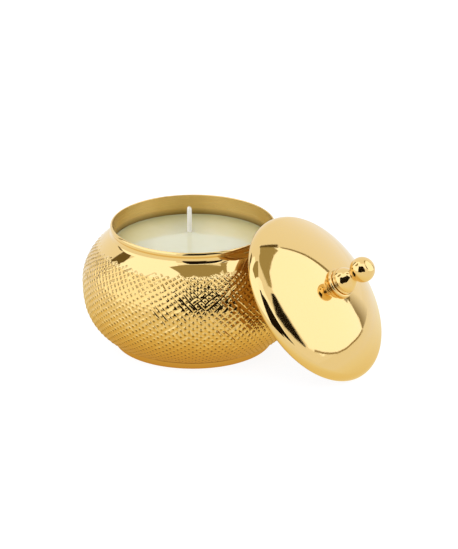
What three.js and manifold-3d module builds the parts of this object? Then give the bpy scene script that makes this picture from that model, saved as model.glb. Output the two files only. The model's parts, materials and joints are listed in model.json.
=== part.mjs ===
// A lidded candle bowl in polished gold-coloured sheet metal: the filled bowl with its wick,
// and its domed lid with a turned knob, propped against the bowl's mouth.
// Units are millimetres. The origin is the centre of the bowl's flat underside, +Z is up and
// the lid leans on the +X side.

import * as THREE from 'three';
import { mergeVertices } from 'three/addons/utils/BufferGeometryUtils.js';
import Module from 'manifold-3d';

const wasm = await Module();
wasm.setup();

// ---------------------------------------------------------------- driving dimensions

const GAP = 0.3;                    // clearance between separate pieces that touch
const SHEET = 1.2;                  // wall of the spun bowl
const LID_SHEET = 1.0;              // wall of the spun lid

// Bowl: the belly is a superellipse with its own height and fullness above and below the widest circle.
const BELLY_RADIUS = 55;
const BELLY_Z = 33;
const BELLY_RISE = 36.3;
const BELLY_DROP = 36.9;
const RISE_POWER = 1.91;
const DROP_POWER = 2.7;
const MOUTH_RADIUS = 41.4;          // round hole in the shoulder that takes the collar

const FOOT_RADIUS = 39.4;
const FOOT_HEIGHT = 3.7;
const FOOT_WALL = 3.7;
const FOOT_EDGE = 0.5;              // small bevel where the foot meets the table
const BASE_DISC_THICKNESS = 1.2;

const WAX_Z = 51;                   // level of the poured wax

const BOWL_HEIGHT = 61.6;
const LIP_RADIUS = 41.1;
const NECK_RADIUS = 40;             // inside of the collar
const NECK_WAIST = 40.7;            // outside of the collar at its slimmest
const COLLAR_BOTTOM_Z = WAX_Z + GAP;
const COLLAR_SEAT = 0.95;           // how far the collar's foot spreads over the shoulder
const COLLAR_FLARE_Z = 57.2;        // the spread foot has nearly drawn in to the neck
const WAIST_BOTTOM_Z = 58.4;
const WAIST_TOP_Z = 59.4;
const LIP_BOTTOM_Z = 60.7;
const LIP_EDGE = 0.4;               // bevel on the lip's outer and inner edges

// Wick: a round braid, crimped in the sustainer's neck, that drifted to one side as the wax set.
const WICK_RADIUS = 1.1;
const WICK_SIDES = 8;
const WICK_STEPS = 20;
const WICK_X = -9.5;
const WICK_Y = 12.8;
const WICK_TIP_Z = 64.4;
const SUSTAINER_RADIUS = 10;
const SUSTAINER_SHEET = 0.5;
const CRIMP_RADIUS = 2.2;
const CRIMP_HEIGHT = 6;
const CRIMP_FILLET = 0.4;
const STICKER_RADIUS = 7.5;
const STICKER_THICKNESS = 0.8;

// Lid, about its own axis, from the plane of its widest circle: spherical dome, rounded edge, flat hem.
const LID_RADIUS = 44.1;
const DOME_HEIGHT = 16.8;
const EDGE_RADIUS = 5;              // upper, outer rounding
const HEM_RADIUS = 2.3;             // lower, tighter rounding where the edge turns under
const HEM_INNER_RADIUS = 39.3;
const RING_RADIUS = 39;             // locating ring that drops into the neck
const RING_WALL = 1;
const RING_DROP = 5;                // below the plane of the widest circle
const RING_FLANGE_RADIUS = 41.4;
const RING_FLANGE_THICKNESS = 0.8;

// Knob, stacked on the lid's axis.
const FLANGE_RADIUS = 7.8;
const FLANGE_THICKNESS = 1.3;
const BELL_RADIUS = 6.5;
const BELL_NECK_RADIUS = 2.6;
const BALL_RADIUS = 6.3;
const BALL_HEIGHT = 32.8;          // centre of the ball above the widest circle's plane
const SCREW_RADIUS = 2;
const SCREW_HEAD_RADIUS = 3.8;
const SCREW_HEAD_HEIGHT = 2.2;
const SCREW_SLOT = 0.9;
const SCREW_CROWN = 0.6;            // bevel on the screw's head and tip
const KNOB_BORE_DEPTH = 5;
const WASHER_RADIUS = 5.2;
const WASHER_THICKNESS = 0.8;

// Propped lid: tilt of its axis from upright, and how far its centre stands out from the bowl's axis.
const LID_TILT = THREE.MathUtils.degToRad(51.7);
const LID_X = 68.6;
const LID_Z = (LID_RADIUS - HEM_RADIUS) * Math.sin(LID_TILT) + HEM_RADIUS;

const BIG_ROUND = 48;               // sides of the bowl and lid
const SMALL_ROUND = 24;             // sides of the knob, screw and sustainer

// ---------------------------------------------------------------- materials

const metal = (color, roughness) => new THREE.MeshStandardMaterial({ color, roughness, metalness: 1 });
const soft = (color, roughness) => new THREE.MeshStandardMaterial({ color, roughness, metalness: 0 });

const polishedGold = () => metal(0xe6b95c, 0.12);
const hammeredGold = () => metal(0xdcab4c, 0.22);
const satinGold = () => metal(0xc39b41, 0.35);
const steel = () => metal(0xb9bcc0, 0.35);

// ---------------------------------------------------------------- geometry helpers

// A geometry with shared vertices, no collapsed triangles and its faces pointing out.
function closed(geometry) {
  geometry.deleteAttribute('normal');
  geometry.deleteAttribute('uv');
  const merged = mergeVertices(geometry, 1e-4);
  const place = merged.getAttribute('position');
  const corner = [new THREE.Vector3(), new THREE.Vector3(), new THREE.Vector3()];
  const kept = [];
  let volume = 0;
  for (let i = 0; i < merged.index.count; i += 3) {
    const face = [0, 1, 2].map((k) => merged.index.getX(i + k));
    if (face[0] === face[1] || face[1] === face[2] || face[2] === face[0]) continue;
    face.forEach((vertex, k) => corner[k].fromBufferAttribute(place, vertex));
    volume += corner[0].dot(corner[1].clone().cross(corner[2]));
    kept.push(face);
  }
  const faces = volume < 0 ? kept.map(([a, b, c]) => [a, c, b]) : kept;
  merged.setIndex(faces.flat());
  return merged;
}

// Turns an outline of [radius, height] points about the Z axis.
function turned(outline, sides) {
  const points = outline.map(([radius, height]) => new THREE.Vector2(radius, height));
  return closed(new THREE.LatheGeometry(points, sides).rotateX(Math.PI / 2));
}

// Turns an outline that goes round a ring or tube and comes back to its first point.
const turnedRing = (outline, sides) => turned([...outline, outline[0]], sides);

function toSolid(geometry) {
  return new wasm.Manifold(new wasm.Mesh({
    numProp: 3,
    vertProperties: new Float32Array(geometry.getAttribute('position').array),
    triVerts: new Uint32Array(geometry.index.array),
  }));
}

function cut(body, ...tools) {
  const solid = tools.reduce((left, tool) => left.subtract(toSolid(tool)), toSolid(body));
  const mesh = solid.getMesh();
  const geometry = new THREE.BufferGeometry();
  geometry.setAttribute('position', new THREE.BufferAttribute(mesh.vertProperties, mesh.numProp));
  geometry.setIndex(new THREE.BufferAttribute(mesh.triVerts, 1));
  return geometry;
}

function piece(name, geometry, material) {
  const mesh = new THREE.Mesh(geometry, material);
  mesh.name = name;
  return mesh;
}

// Evenly spaced values from start to end, both included.
function steps(start, end, count) {
  return Array.from({ length: count + 1 }, (_, i) => start + ((end - start) * i) / count);
}

// Points of a circular arc in [radius, height], between two angles in degrees.
function arc(centreRadius, centreHeight, size, from, to, count) {
  return steps(from, to, count).map((degrees) => {
    const angle = THREE.MathUtils.degToRad(degrees);
    return [centreRadius + size * Math.cos(angle), centreHeight + size * Math.sin(angle)];
  });
}

// ---------------------------------------------------------------- bowl outlines

// Radius of the belly at a height, drawn in from the outer surface by an inset.
function bellyRadius(z, inset) {
  const above = z > BELLY_Z;
  const power = above ? RISE_POWER : DROP_POWER;
  const reach = (above ? BELLY_RISE : BELLY_DROP) - inset;
  const fraction = Math.abs(z - BELLY_Z) / reach;
  return (BELLY_RADIUS - inset) * (1 - fraction ** power) ** (1 / power);
}

// Height at which the shoulder has drawn in to a radius.
function shoulderHeight(radius, inset) {
  const fraction = radius / (BELLY_RADIUS - inset);
  return BELLY_Z + (BELLY_RISE - inset) * (1 - fraction ** RISE_POWER) ** (1 / RISE_POWER);
}

// Belly outline from one height to another, with points closer together towards both ends.
function bellyOutline(bottom, top, inset, count) {
  const middle = (bottom + top) / 2;
  const half = (top - bottom) / 2;
  return steps(-Math.PI / 2, Math.PI / 2, count).map((angle) => {
    const z = middle + half * Math.sin(angle);
    return [bellyRadius(z, inset), z];
  });
}

const SHELL_BOTTOM = FOOT_HEIGHT + GAP;
const SHELL_FLOOR = SHELL_BOTTOM + SHEET;

// ---------------------------------------------------------------- bowl pieces

function bowlShell() {
  const outside = bellyOutline(SHELL_BOTTOM, shoulderHeight(MOUTH_RADIUS, 0), 0, 13);
  const inside = bellyOutline(SHELL_FLOOR, shoulderHeight(MOUTH_RADIUS, SHEET), SHEET, 11);
  const outline = [[0, SHELL_BOTTOM], ...outside, ...inside.reverse(), [0, SHELL_FLOOR]];
  return piece('bowl_shell', turned(outline, BIG_ROUND), hammeredGold());
}

function neckCollar() {
  const spigot = MOUTH_RADIUS - GAP;
  const seat = spigot + COLLAR_SEAT;
  const flare = 0.3;                // the foot's spread that is left at COLLAR_FLARE_Z
  const outline = [
    [NECK_RADIUS, COLLAR_BOTTOM_Z],
    [spigot, COLLAR_BOTTOM_Z],
    [spigot, shoulderHeight(spigot, 0) + GAP],
    [seat, shoulderHeight(seat, 0) + GAP * 1.5],
    [NECK_WAIST + flare, COLLAR_FLARE_Z],
    [NECK_WAIST, WAIST_BOTTOM_Z],
    [NECK_WAIST, WAIST_TOP_Z],
    [LIP_RADIUS, LIP_BOTTOM_Z],
    [LIP_RADIUS, BOWL_HEIGHT - LIP_EDGE],
    [LIP_RADIUS - LIP_EDGE, BOWL_HEIGHT],
    [NECK_RADIUS + LIP_EDGE / 2, BOWL_HEIGHT],
    [NECK_RADIUS, BOWL_HEIGHT - LIP_EDGE],
  ];
  return piece('neck_collar', turnedRing(outline, BIG_ROUND), polishedGold());
}

function footRing() {
  const outline = [
    [FOOT_RADIUS - FOOT_WALL, 0],
    [FOOT_RADIUS - FOOT_EDGE, 0],
    [FOOT_RADIUS, FOOT_EDGE],
    [FOOT_RADIUS, FOOT_HEIGHT],
    [FOOT_RADIUS - FOOT_WALL, FOOT_HEIGHT],
  ];
  return piece('foot_ring', turnedRing(outline, BIG_ROUND), polishedGold());
}

function baseDisc() {
  const radius = FOOT_RADIUS - FOOT_WALL - GAP;
  const outline = [[0, 0], [radius, 0], [radius, BASE_DISC_THICKNESS], [0, BASE_DISC_THICKNESS]];
  return piece('base_disc', turned(outline, BIG_ROUND), satinGold());
}

// ---------------------------------------------------------------- candle pieces

const STICKER_Z = SHELL_FLOOR + GAP;
const SUSTAINER_Z = STICKER_Z + STICKER_THICKNESS + GAP;
const CRIMP_TOP_Z = SUSTAINER_Z + CRIMP_HEIGHT;

// The wick runs straight up through the crimp, drifts across in the wax and stands upright above it.
function wickPath() {
  const point = (part, z) => new THREE.Vector3(WICK_X * part, WICK_Y * part, z);
  return new THREE.CatmullRomCurve3([
    point(0, SUSTAINER_Z),
    point(0, SUSTAINER_Z + CRIMP_HEIGHT / 2),
    point(0, CRIMP_TOP_Z),
    point(0.25, 24),
    point(0.8, 40),
    point(1, WAX_Z),
    point(0.98, 58),
    point(1.01, WICK_TIP_Z),
  ]);
}

function braid(path, radius) {
  const section = new THREE.Shape();
  section.absarc(0, 0, radius, 0, 2 * Math.PI);
  return closed(new THREE.ExtrudeGeometry(section, {
    curveSegments: WICK_SIDES,
    steps: WICK_STEPS,
    extrudePath: path,
  }));
}

function wick() {
  return piece('wick', braid(wickPath(), WICK_RADIUS), soft(0xf3eee2, 0.85));
}

function wickSustainer() {
  const bore = WICK_RADIUS + GAP;
  const tabTop = SUSTAINER_Z + SUSTAINER_SHEET;
  const outline = [
    [bore, SUSTAINER_Z],
    [SUSTAINER_RADIUS, SUSTAINER_Z],
    [SUSTAINER_RADIUS, tabTop],
    [CRIMP_RADIUS + CRIMP_FILLET, tabTop],
    [CRIMP_RADIUS, tabTop + CRIMP_FILLET],
    [CRIMP_RADIUS, CRIMP_TOP_Z],
    [bore, CRIMP_TOP_Z],
  ];
  return piece('wick_sustainer', turnedRing(outline, SMALL_ROUND), steel());
}

function sustainerSticker() {
  const top = STICKER_Z + STICKER_THICKNESS;
  const outline = [[0, STICKER_Z], [STICKER_RADIUS, STICKER_Z], [STICKER_RADIUS, top], [0, top]];
  return piece('sustainer_sticker', turned(outline, SMALL_ROUND), soft(0xe9e6dc, 0.7));
}

// The wax fills the bowl to its level and is moulded round the sustainer and the wick.
function waxFill() {
  const inset = SHEET + 2 * GAP;
  const bottom = SHELL_FLOOR + GAP;
  const outline = [[0, bottom], ...bellyOutline(bottom, WAX_Z, inset, 11), [0, WAX_Z]];
  const tabSpace = SUSTAINER_RADIUS + GAP;
  const crimpSpace = CRIMP_RADIUS + CRIMP_FILLET + GAP;
  const tabTop = SUSTAINER_Z + SUSTAINER_SHEET + GAP;
  const pocketBottom = bottom - SHEET;
  const pocket = [
    [0, pocketBottom],
    [tabSpace, pocketBottom],
    [tabSpace, tabTop],
    [crimpSpace, tabTop],
    [crimpSpace, CRIMP_TOP_Z + GAP],
    [0, CRIMP_TOP_Z + GAP],
  ];
  const geometry = cut(
    turned(outline, BIG_ROUND),
    turned(pocket, SMALL_ROUND),
    braid(wickPath(), WICK_RADIUS + GAP),
  );
  return piece('wax_fill', geometry, soft(0xe4dfc6, 0.25));
}

// ---------------------------------------------------------------- lid pieces

// Dome outline from the axis hole out to the widest circle: a spherical cap that runs into a round
// edge. The inset draws it in from the outer surface.
function domeOutline(holeRadius, inset, count) {
  const edge = EDGE_RADIUS - inset;
  const height = DOME_HEIGHT - inset;
  const edgeCentre = LID_RADIUS - EDGE_RADIUS;
  const sphere = (edgeCentre ** 2 + height ** 2 - edge ** 2) / (2 * (height - edge));
  const meeting = Math.atan2(edgeCentre, sphere - height);
  const start = Math.asin(holeRadius / sphere);
  const cap = steps(start, meeting, count).map((angle) => [
    sphere * Math.sin(angle),
    height - sphere + sphere * Math.cos(angle),
  ]);
  const meetingDegrees = 90 - THREE.MathUtils.radToDeg(meeting);
  const round = arc(edgeCentre, 0, edge, meetingDegrees, 0, 4);
  return [...cap, ...round.slice(1)];
}

const SCREW_HOLE = SCREW_RADIUS + GAP;

function lidDome() {
  const hemCentre = LID_RADIUS - HEM_RADIUS;
  const outside = domeOutline(SCREW_HOLE, 0, 7);
  const inside = domeOutline(SCREW_HOLE, LID_SHEET, 6);
  const outline = [
    ...outside,
    ...arc(hemCentre, 0, HEM_RADIUS, 0, -90, 3).slice(1),
    [HEM_INNER_RADIUS, -HEM_RADIUS],
    [HEM_INNER_RADIUS, LID_SHEET - HEM_RADIUS],
    ...arc(hemCentre, 0, HEM_RADIUS - LID_SHEET, -90, 0, 2),
    ...inside.reverse().slice(1),
  ];
  return piece('lid_dome', turnedRing(outline, BIG_ROUND), polishedGold());
}

// A band with a narrow flange that is held on top of the hem.
function lidLocatingRing() {
  const flangeBottom = LID_SHEET - HEM_RADIUS + GAP;
  const flangeTop = flangeBottom + RING_FLANGE_THICKNESS;
  const inner = RING_RADIUS - RING_WALL;
  const outline = [
    [inner, -RING_DROP],
    [RING_RADIUS, -RING_DROP],
    [RING_RADIUS, flangeBottom],
    [RING_FLANGE_RADIUS, flangeBottom],
    [RING_FLANGE_RADIUS, flangeTop],
    [inner, flangeTop],
  ];
  return piece('lid_locating_ring', turnedRing(outline, BIG_ROUND), satinGold());
}

const FLANGE_BOTTOM = DOME_HEIGHT + GAP;
const FLANGE_TOP = FLANGE_BOTTOM + FLANGE_THICKNESS;
const BELL_BOTTOM = FLANGE_TOP + GAP;

function knobFlange() {
  const middle = (FLANGE_BOTTOM + FLANGE_TOP) / 2;
  const rim = FLANGE_THICKNESS / 2;
  const outline = [
    [SCREW_HOLE, FLANGE_BOTTOM],
    ...arc(FLANGE_RADIUS - rim, middle, rim, -90, 90, 4),
    [SCREW_HOLE, FLANGE_TOP],
  ];
  return piece('knob_flange', turnedRing(outline, SMALL_ROUND), polishedGold());
}

// A foot bead, a groove, a bell-shaped body and a slim neck whose collar cups the ball.
function knobBell() {
  const beadSize = 0.4;
  const beadRadius = 6.7;
  const grooveHeight = 0.3;
  const grooveDepth = 0.5;
  const bellSkirt = 0.6;            // height over which the groove runs out to the bell
  const bellRise = 4.6;
  const bellPower = 0.8;            // below 1, the bell is fuller than an ellipse
  const collarRadius = 3.4;
  const collarHeight = 0.5;
  const ballSeat = (radius) => BALL_HEIGHT - Math.sqrt((BALL_RADIUS + GAP) ** 2 - radius ** 2);
  const neckZ = ballSeat(0) - 0.4;
  const boreTop = BELL_BOTTOM + KNOB_BORE_DEPTH;
  const grooveZ = BELL_BOTTOM + 2 * beadSize + grooveHeight;
  const bell = steps(0, 75, 5).map((degrees) => {
    const angle = THREE.MathUtils.degToRad(degrees);
    const radius = BELL_RADIUS * Math.cos(angle) ** bellPower;
    return [radius, grooveZ + bellSkirt + bellRise * Math.sin(angle)];
  });
  const outline = [
    [SCREW_HOLE, BELL_BOTTOM],
    ...arc(beadRadius - beadSize, BELL_BOTTOM + beadSize, beadSize, -90, 90, 3),
    [BELL_RADIUS - grooveDepth, grooveZ],
    ...bell.filter(([radius]) => radius > BELL_NECK_RADIUS + 0.2),
    [BELL_NECK_RADIUS, neckZ],
    [collarRadius, neckZ + collarHeight],
    [collarRadius, ballSeat(collarRadius) - 0.1],
    ...steps(collarRadius - 0.3, 0, 3).map((radius) => [radius, ballSeat(radius)]),
    [0, boreTop],
    [SCREW_HOLE, boreTop],
  ];
  return piece('knob_bell', turnedRing(outline, SMALL_ROUND), polishedGold());
}

function knobBall() {
  const outline = arc(0, BALL_HEIGHT, BALL_RADIUS, -90, 90, 12);
  outline[0][0] = 0;
  outline[outline.length - 1][0] = 0;
  return piece('knob_ball', turned(outline, SMALL_ROUND), polishedGold());
}

const WASHER_TOP = DOME_HEIGHT - LID_SHEET - 2 * GAP;
const WASHER_BOTTOM = WASHER_TOP - WASHER_THICKNESS;

function knobWasher() {
  const outline = [
    [SCREW_HOLE, WASHER_BOTTOM],
    [WASHER_RADIUS, WASHER_BOTTOM],
    [WASHER_RADIUS, WASHER_TOP],
    [SCREW_HOLE, WASHER_TOP],
  ];
  return piece('knob_washer', turnedRing(outline, SMALL_ROUND), steel());
}

function knobScrew() {
  const headTop = WASHER_BOTTOM - GAP;
  const headBottom = headTop - SCREW_HEAD_HEIGHT;
  const tip = BELL_BOTTOM + KNOB_BORE_DEPTH - GAP;
  const outline = [
    [0, headBottom],
    [SCREW_HEAD_RADIUS - SCREW_CROWN, headBottom],
    [SCREW_HEAD_RADIUS, headBottom + SCREW_CROWN],
    [SCREW_HEAD_RADIUS, headTop],
    [SCREW_RADIUS, headTop],
    [SCREW_RADIUS, tip - SCREW_CROWN],
    [SCREW_RADIUS - SCREW_CROWN, tip],
    [0, tip],
  ];
  const slot = new THREE.BoxGeometry(SCREW_HEAD_RADIUS * 3, SCREW_SLOT, SCREW_SLOT * 2);
  slot.translate(0, 0, headBottom);
  const geometry = cut(turned(outline, SMALL_ROUND), closed(slot));
  return piece('knob_screw', geometry, steel());
}

// ---------------------------------------------------------------- assembly

const bowl = new THREE.Group();
bowl.add(bowlShell(), neckCollar(), footRing(), baseDisc());
bowl.add(waxFill(), wick(), wickSustainer(), sustainerSticker());

const lid = new THREE.Group();
lid.add(lidDome(), lidLocatingRing());
lid.add(knobFlange(), knobBell(), knobBall(), knobWasher(), knobScrew());
lid.rotation.y = LID_TILT;
lid.position.set(LID_X, 0, LID_Z);

const candleBowl = new THREE.Group();
candleBowl.add(bowl, lid);

export default candleBowl;
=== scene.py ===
import json
import math

import bmesh
import bpy
import numpy as np
from mathutils import Matrix, Vector


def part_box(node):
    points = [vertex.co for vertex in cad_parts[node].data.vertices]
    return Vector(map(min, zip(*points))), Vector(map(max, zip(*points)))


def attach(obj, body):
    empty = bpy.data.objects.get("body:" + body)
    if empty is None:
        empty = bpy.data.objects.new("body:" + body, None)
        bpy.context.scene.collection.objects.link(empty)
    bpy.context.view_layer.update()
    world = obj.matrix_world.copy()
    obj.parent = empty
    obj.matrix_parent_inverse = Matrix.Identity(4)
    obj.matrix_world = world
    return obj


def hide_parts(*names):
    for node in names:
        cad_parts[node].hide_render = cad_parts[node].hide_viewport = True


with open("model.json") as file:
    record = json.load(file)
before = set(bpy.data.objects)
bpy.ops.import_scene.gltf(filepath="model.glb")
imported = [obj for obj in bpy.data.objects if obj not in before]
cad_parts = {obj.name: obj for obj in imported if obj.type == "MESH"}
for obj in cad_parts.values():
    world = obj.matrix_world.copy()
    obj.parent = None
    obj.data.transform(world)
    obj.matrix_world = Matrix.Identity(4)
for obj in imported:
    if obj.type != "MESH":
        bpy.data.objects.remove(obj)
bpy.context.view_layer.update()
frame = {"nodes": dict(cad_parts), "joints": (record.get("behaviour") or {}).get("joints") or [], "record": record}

# A polished gold-coloured candle bowl with its domed lid propped against it, modelled round the CAD frame.
# Outlines are in millimetres, as (radius, height) about a piece's own axis; MM turns them into metres.

MM = 0.001
random = np.random.RandomState(7)


# ------------------------------------------------------------------ sizes from the frame

def low(node):
    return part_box(node)[0] / MM


def high(node):
    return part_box(node)[1] / MM


joints = {joint["name"]: joint for joint in frame["joints"]}

# Bowl
BELLY_RADIUS = high("bowl_shell").y
SHELL_BOTTOM = low("bowl_shell").z
FOOT_RADIUS = high("foot_ring").y
FOOT_HEIGHT = high("foot_ring").z
BASE_DISC_RADIUS = high("base_disc").y
BASE_DISC_THICKNESS = high("base_disc").z
BOWL_HEIGHT = high("neck_collar").z
WAX_LEVEL = high("wax_fill").z
SUSTAINER_Z = low("wick_sustainer").z
WICK_TIP = high("wick").z

# The belly is a superellipse, with its own height and fullness above and below the widest circle.
BELLY_Z = 33.0
BELLY_RISE = 36.3
BELLY_DROP = 36.9
RISE_POWER = 1.91
DROP_POWER = 2.7
SHEET = 1.2
MOUTH_RADIUS = 41.4
NECK_RADIUS = 40.0
NECK_WAIST = 40.7
LIP_RADIUS = 41.1
FOOT_WALL = 3.7

# Wick: straight up through the crimp, across in the wax, upright above it.
WICK_RADIUS = 1.1
WICK_DRIFT = Vector((-9.5, 12.8))

# Lid, from the plane of its widest circle along its own axis.
LID_RADIUS = high("lid_dome").y
DOME_HEIGHT = 16.8
EDGE_RADIUS = 5.0
HEM_RADIUS = 2.3
HEM_INNER_RADIUS = 39.3
LID_SHEET = 1.0
RING_FLANGE = 2.4
RING_WALL = 1.0
RING_RADIUS = high("lid_locating_ring").y - RING_FLANGE
RING_DROP = 5.0
FLANGE_RADIUS = high("knob_flange").y
WASHER_RADIUS = high("knob_washer").y
SCREW_HEAD_RADIUS = 3.8
SCREW_HEAD_HEIGHT = 2.2
SCREW_SHANK = 2.0
BALL_RADIUS = (high("knob_ball").y - low("knob_ball").y) / 2
BALL_HEIGHT = 32.8

# The lid's tilt is what both joints leave between the propped and the closed lid.
lift = joints["lid_lift"]
coupling = frame["record"]["behaviour"]["couplings"][0]
LID_TILT = math.radians(lift["range_deg"][1] * (1 + coupling["ratio"]))
LID_AXIS = Vector((math.sin(LID_TILT), 0, math.cos(LID_TILT)))
BALL_CENTRE = Vector(joints["lid_level"]["pos_m"])
LID_PLACE = Matrix.Translation(BALL_CENTRE - LID_AXIS * BALL_HEIGHT * MM) @ Matrix.Rotation(LID_TILT, 4, "Y")

ROUND = 256                 # sides of the big turned pieces
SMALL_ROUND = 96            # sides of the knob and fasteners
SUPPORT = 0.12              # how close a support point sits to a rounded corner
ON_AXIS = 1e-6              # a point this close to the axis is on it


# ------------------------------------------------------------------ outlines

def arc(centre_radius, centre_height, size, start, end, count):
    """Points of a circular arc between two angles in degrees."""
    angles = np.radians(np.linspace(start, end, count + 1))
    return [(centre_radius + size * math.cos(a), centre_height + size * math.sin(a)) for a in angles]


def catmull_rom(a, b, c, d, t):
    """The value a share t of the way from b to c, on a smooth curve that comes from a and goes on to d."""
    bend = (2 * a - 5 * b + 4 * c - d) * t ** 2 + (3 * b - a - 3 * c + d) * t ** 3
    return 0.5 * (2 * b + (c - a) * t + bend)


def smooth_curve(points, steps):
    """A smooth outline through a few points."""
    ends = [points[0]] + list(points) + [points[-1]]
    curve = []
    for near in zip(ends, ends[1:], ends[2:], ends[3:]):
        for t in np.linspace(0, 1, steps, endpoint=False):
            curve.append(tuple(catmull_rom(*values, t) for values in zip(*near)))
    return curve + [points[-1]]


def plain(points):
    """Points that keep their place when an outline is rounded."""
    return [(radius, height, 0) for radius, height in points]


def rounded(corners, count=5):
    """A closed outline from (radius, height, rounding) corners. Each rounding becomes an arc, with a support
    point on either side that keeps the flats flat under smooth shading."""
    outline = []
    for i, (radius, height, size) in enumerate(corners):
        here = Vector((radius, height))
        if size == 0:
            outline.append(here)
            continue
        back = Vector(corners[i - 1][:2]) - here
        ahead = Vector(corners[(i + 1) % len(corners)][:2]) - here
        half = back.angle(ahead) / 2
        reach = size / math.tan(half)
        centre = here + (back.normalized() + ahead.normalized()).normalized() * size / math.sin(half)
        start = here + back.normalized() * reach
        end = here + ahead.normalized() * reach
        outline.append(start + back.normalized() * min(SUPPORT, (back.length - reach) / 4))
        for step in range(count + 1):
            spoke = (start - centre).lerp(end - centre, step / count)
            outline.append(centre + spoke.normalized() * size)
        outline.append(end + ahead.normalized() * min(SUPPORT, (ahead.length - reach) / 4))
    return [(point.x, point.y) for point in outline]


# ------------------------------------------------------------------ meshes

def signed_area(outline):
    """Positive for an outline that runs anticlockwise, with the radius to the right and the height up."""
    pairs = zip(outline, outline[1:] + outline[:1])
    return sum(r0 * z1 - r1 * z0 for (r0, z0), (r1, z1) in pairs) / 2


def joined(lower, upper):
    """Faces between two rings of the same count. Where a ring is one point, they are triangles."""
    faces = []
    for i in range(len(lower)):
        j = (i + 1) % len(lower)
        face = list(dict.fromkeys((lower[i], lower[j], upper[j], upper[i])))
        if len(face) > 2:
            faces.append(face)
    return faces


def turned_mesh(outline, sides, closed=True):
    """Vertices and faces of an outline turned about Z. Points on the axis become one vertex."""
    if closed and signed_area(outline) < 0:
        outline = outline[::-1]
    angles = np.arange(sides) * 2 * math.pi / sides
    points = []
    rings = []
    for radius, height in outline:
        first = len(points)
        if radius < ON_AXIS:
            points.append((0.0, 0.0, height))
            rings.append([first] * sides)
        else:
            points.extend((radius * math.cos(a), radius * math.sin(a), height) for a in angles)
            rings.append(list(range(first, first + sides)))
    pairs = list(zip(rings, rings[1:]))
    if closed:
        pairs.append((rings[-1], rings[0]))
    return points, sum((joined(*pair) for pair in pairs), [])


def add_object(name, data):
    obj = bpy.data.objects.new(name, data)
    bpy.context.scene.collection.objects.link(obj)
    return obj


def make_object(name, points, faces, place=None):
    """A smooth-shaded object from points in millimetres. place puts it in the frame."""
    mesh = bpy.data.meshes.new(name)
    mesh.from_pydata((np.asarray(points, float) * MM).tolist(), [], faces)
    if place is not None:
        mesh.transform(place)
    mesh.shade_smooth()
    return add_object(name, mesh)


def add_values(mesh, name, values):
    """Gives each point of a mesh a number, under a name."""
    mesh.attributes.new(name, "FLOAT", "POINT").data.foreach_set("value", values)


def vectors(source, key):
    """The vectors of a mesh's points or attribute, one to a row."""
    values = np.empty(len(source) * 3)
    source.foreach_get(key, values)
    return values.reshape(-1, 3)


def turned(name, outline, sides=ROUND, place=None, closed=True):
    """A turned piece. Its points remember how far along the outline they are, for the marks of turning."""
    points, faces = turned_mesh(outline, sides, closed)
    obj = make_object(name, points, faces, place)
    if closed and signed_area(outline) < 0:
        outline = outline[::-1]
    travelled = 0.0
    along = []
    for before, here in zip([outline[0]] + outline, outline):
        travelled += math.dist(before, here)
        along += [travelled] * (1 if here[0] < ON_AXIS else sides)
    add_values(obj.data, "along", along)
    return obj


def paint(obj, *materials):
    obj.data.materials.clear()
    for material in materials:
        obj.data.materials.append(material)


def assemble(obj, body, slot, cad_node, material, *areas):
    """Paints a piece, rides it on its body, and hides the CAD node it stands for. The slot is not used. An area is
    a further material with the rule that chooses its faces. Later areas cover earlier ones."""
    paint(obj, material, *(extra for extra, _ in areas))
    for index, (_, chosen) in enumerate(areas, 1):
        for face in obj.data.polygons:
            centre = face.center / MM
            if chosen(math.hypot(centre.x, centre.y), centre.z, face.normal):
                face.material_index = index
    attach(obj, body)
    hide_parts(cad_node)


def tube(path, radius_at, sides):
    """Points and faces of a closed tube along a path of Vectors, in millimetres."""
    points = []
    rings = []
    side_axis = Vector((1, 0, 0))
    for i, centre in enumerate(path):
        ahead = path[min(i + 1, len(path) - 1)] - path[max(i - 1, 0)]
        ahead.normalize()
        side_axis = (side_axis - ahead * side_axis.dot(ahead)).normalized()
        other = ahead.cross(side_axis)
        radius = radius_at(i / (len(path) - 1))
        rings.append(list(range(len(points), len(points) + sides)))
        for k in range(sides):
            angle = 2 * math.pi * k / sides
            points.append(centre + (side_axis * math.cos(angle) + other * math.sin(angle)) * radius)
    faces = sum((joined(*pair) for pair in zip(rings, rings[1:])), [])
    return points, faces + [rings[0][::-1], rings[-1]]


def merged(parts):
    """Several (points, faces) as one."""
    points = []
    faces = []
    for part_points, part_faces in parts:
        first = len(points)
        points.extend(part_points)
        faces.extend([first + index for index in face] for face in part_faces)
    return points, faces


# ------------------------------------------------------------------ belly with its cross-hatch

# Grooves lean both ways across the belly. The shares are parts of one cell, from groove to groove.
RISING_GROOVES = 72         # grooves that climb to the right, counted round the belly
FALLING_GROOVES = 106
RISING_RUN = 1 / math.tan(math.radians(35))     # how far a groove runs round for each step up
FALLING_RUN = 1 / math.tan(math.radians(47))
GROOVE_SHARE = 0.175        # half of a groove's width
PAD_EDGE_SHARE = 0.05       # the steep foot of a pad
PAD_HEIGHT = 0.19
PAD_SPREAD = 0.28           # how much pads differ in height
PAD_LEAN = 0.45             # how much their tops lean
GROOVE_WANDER = 0.08        # how far a groove's crossings stray, in cells
FILLED_GROOVES = 0.12       # share of groove stretches that are pressed shallow
HATCH_BOTTOM = 4.9
HATCH_TOP = 52.3
HATCH_FADE = 0.8            # height over which the pads die out
RAGGED = 0.7
STRIP = 0.15                # plain strip that joins the hatched band to the turned parts
CELL_STEPS = np.array([
    GROOVE_SHARE,
    GROOVE_SHARE + PAD_EDGE_SHARE,
    1 - GROOVE_SHARE - PAD_EDGE_SHARE,
    1 - GROOVE_SHARE,
])


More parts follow.
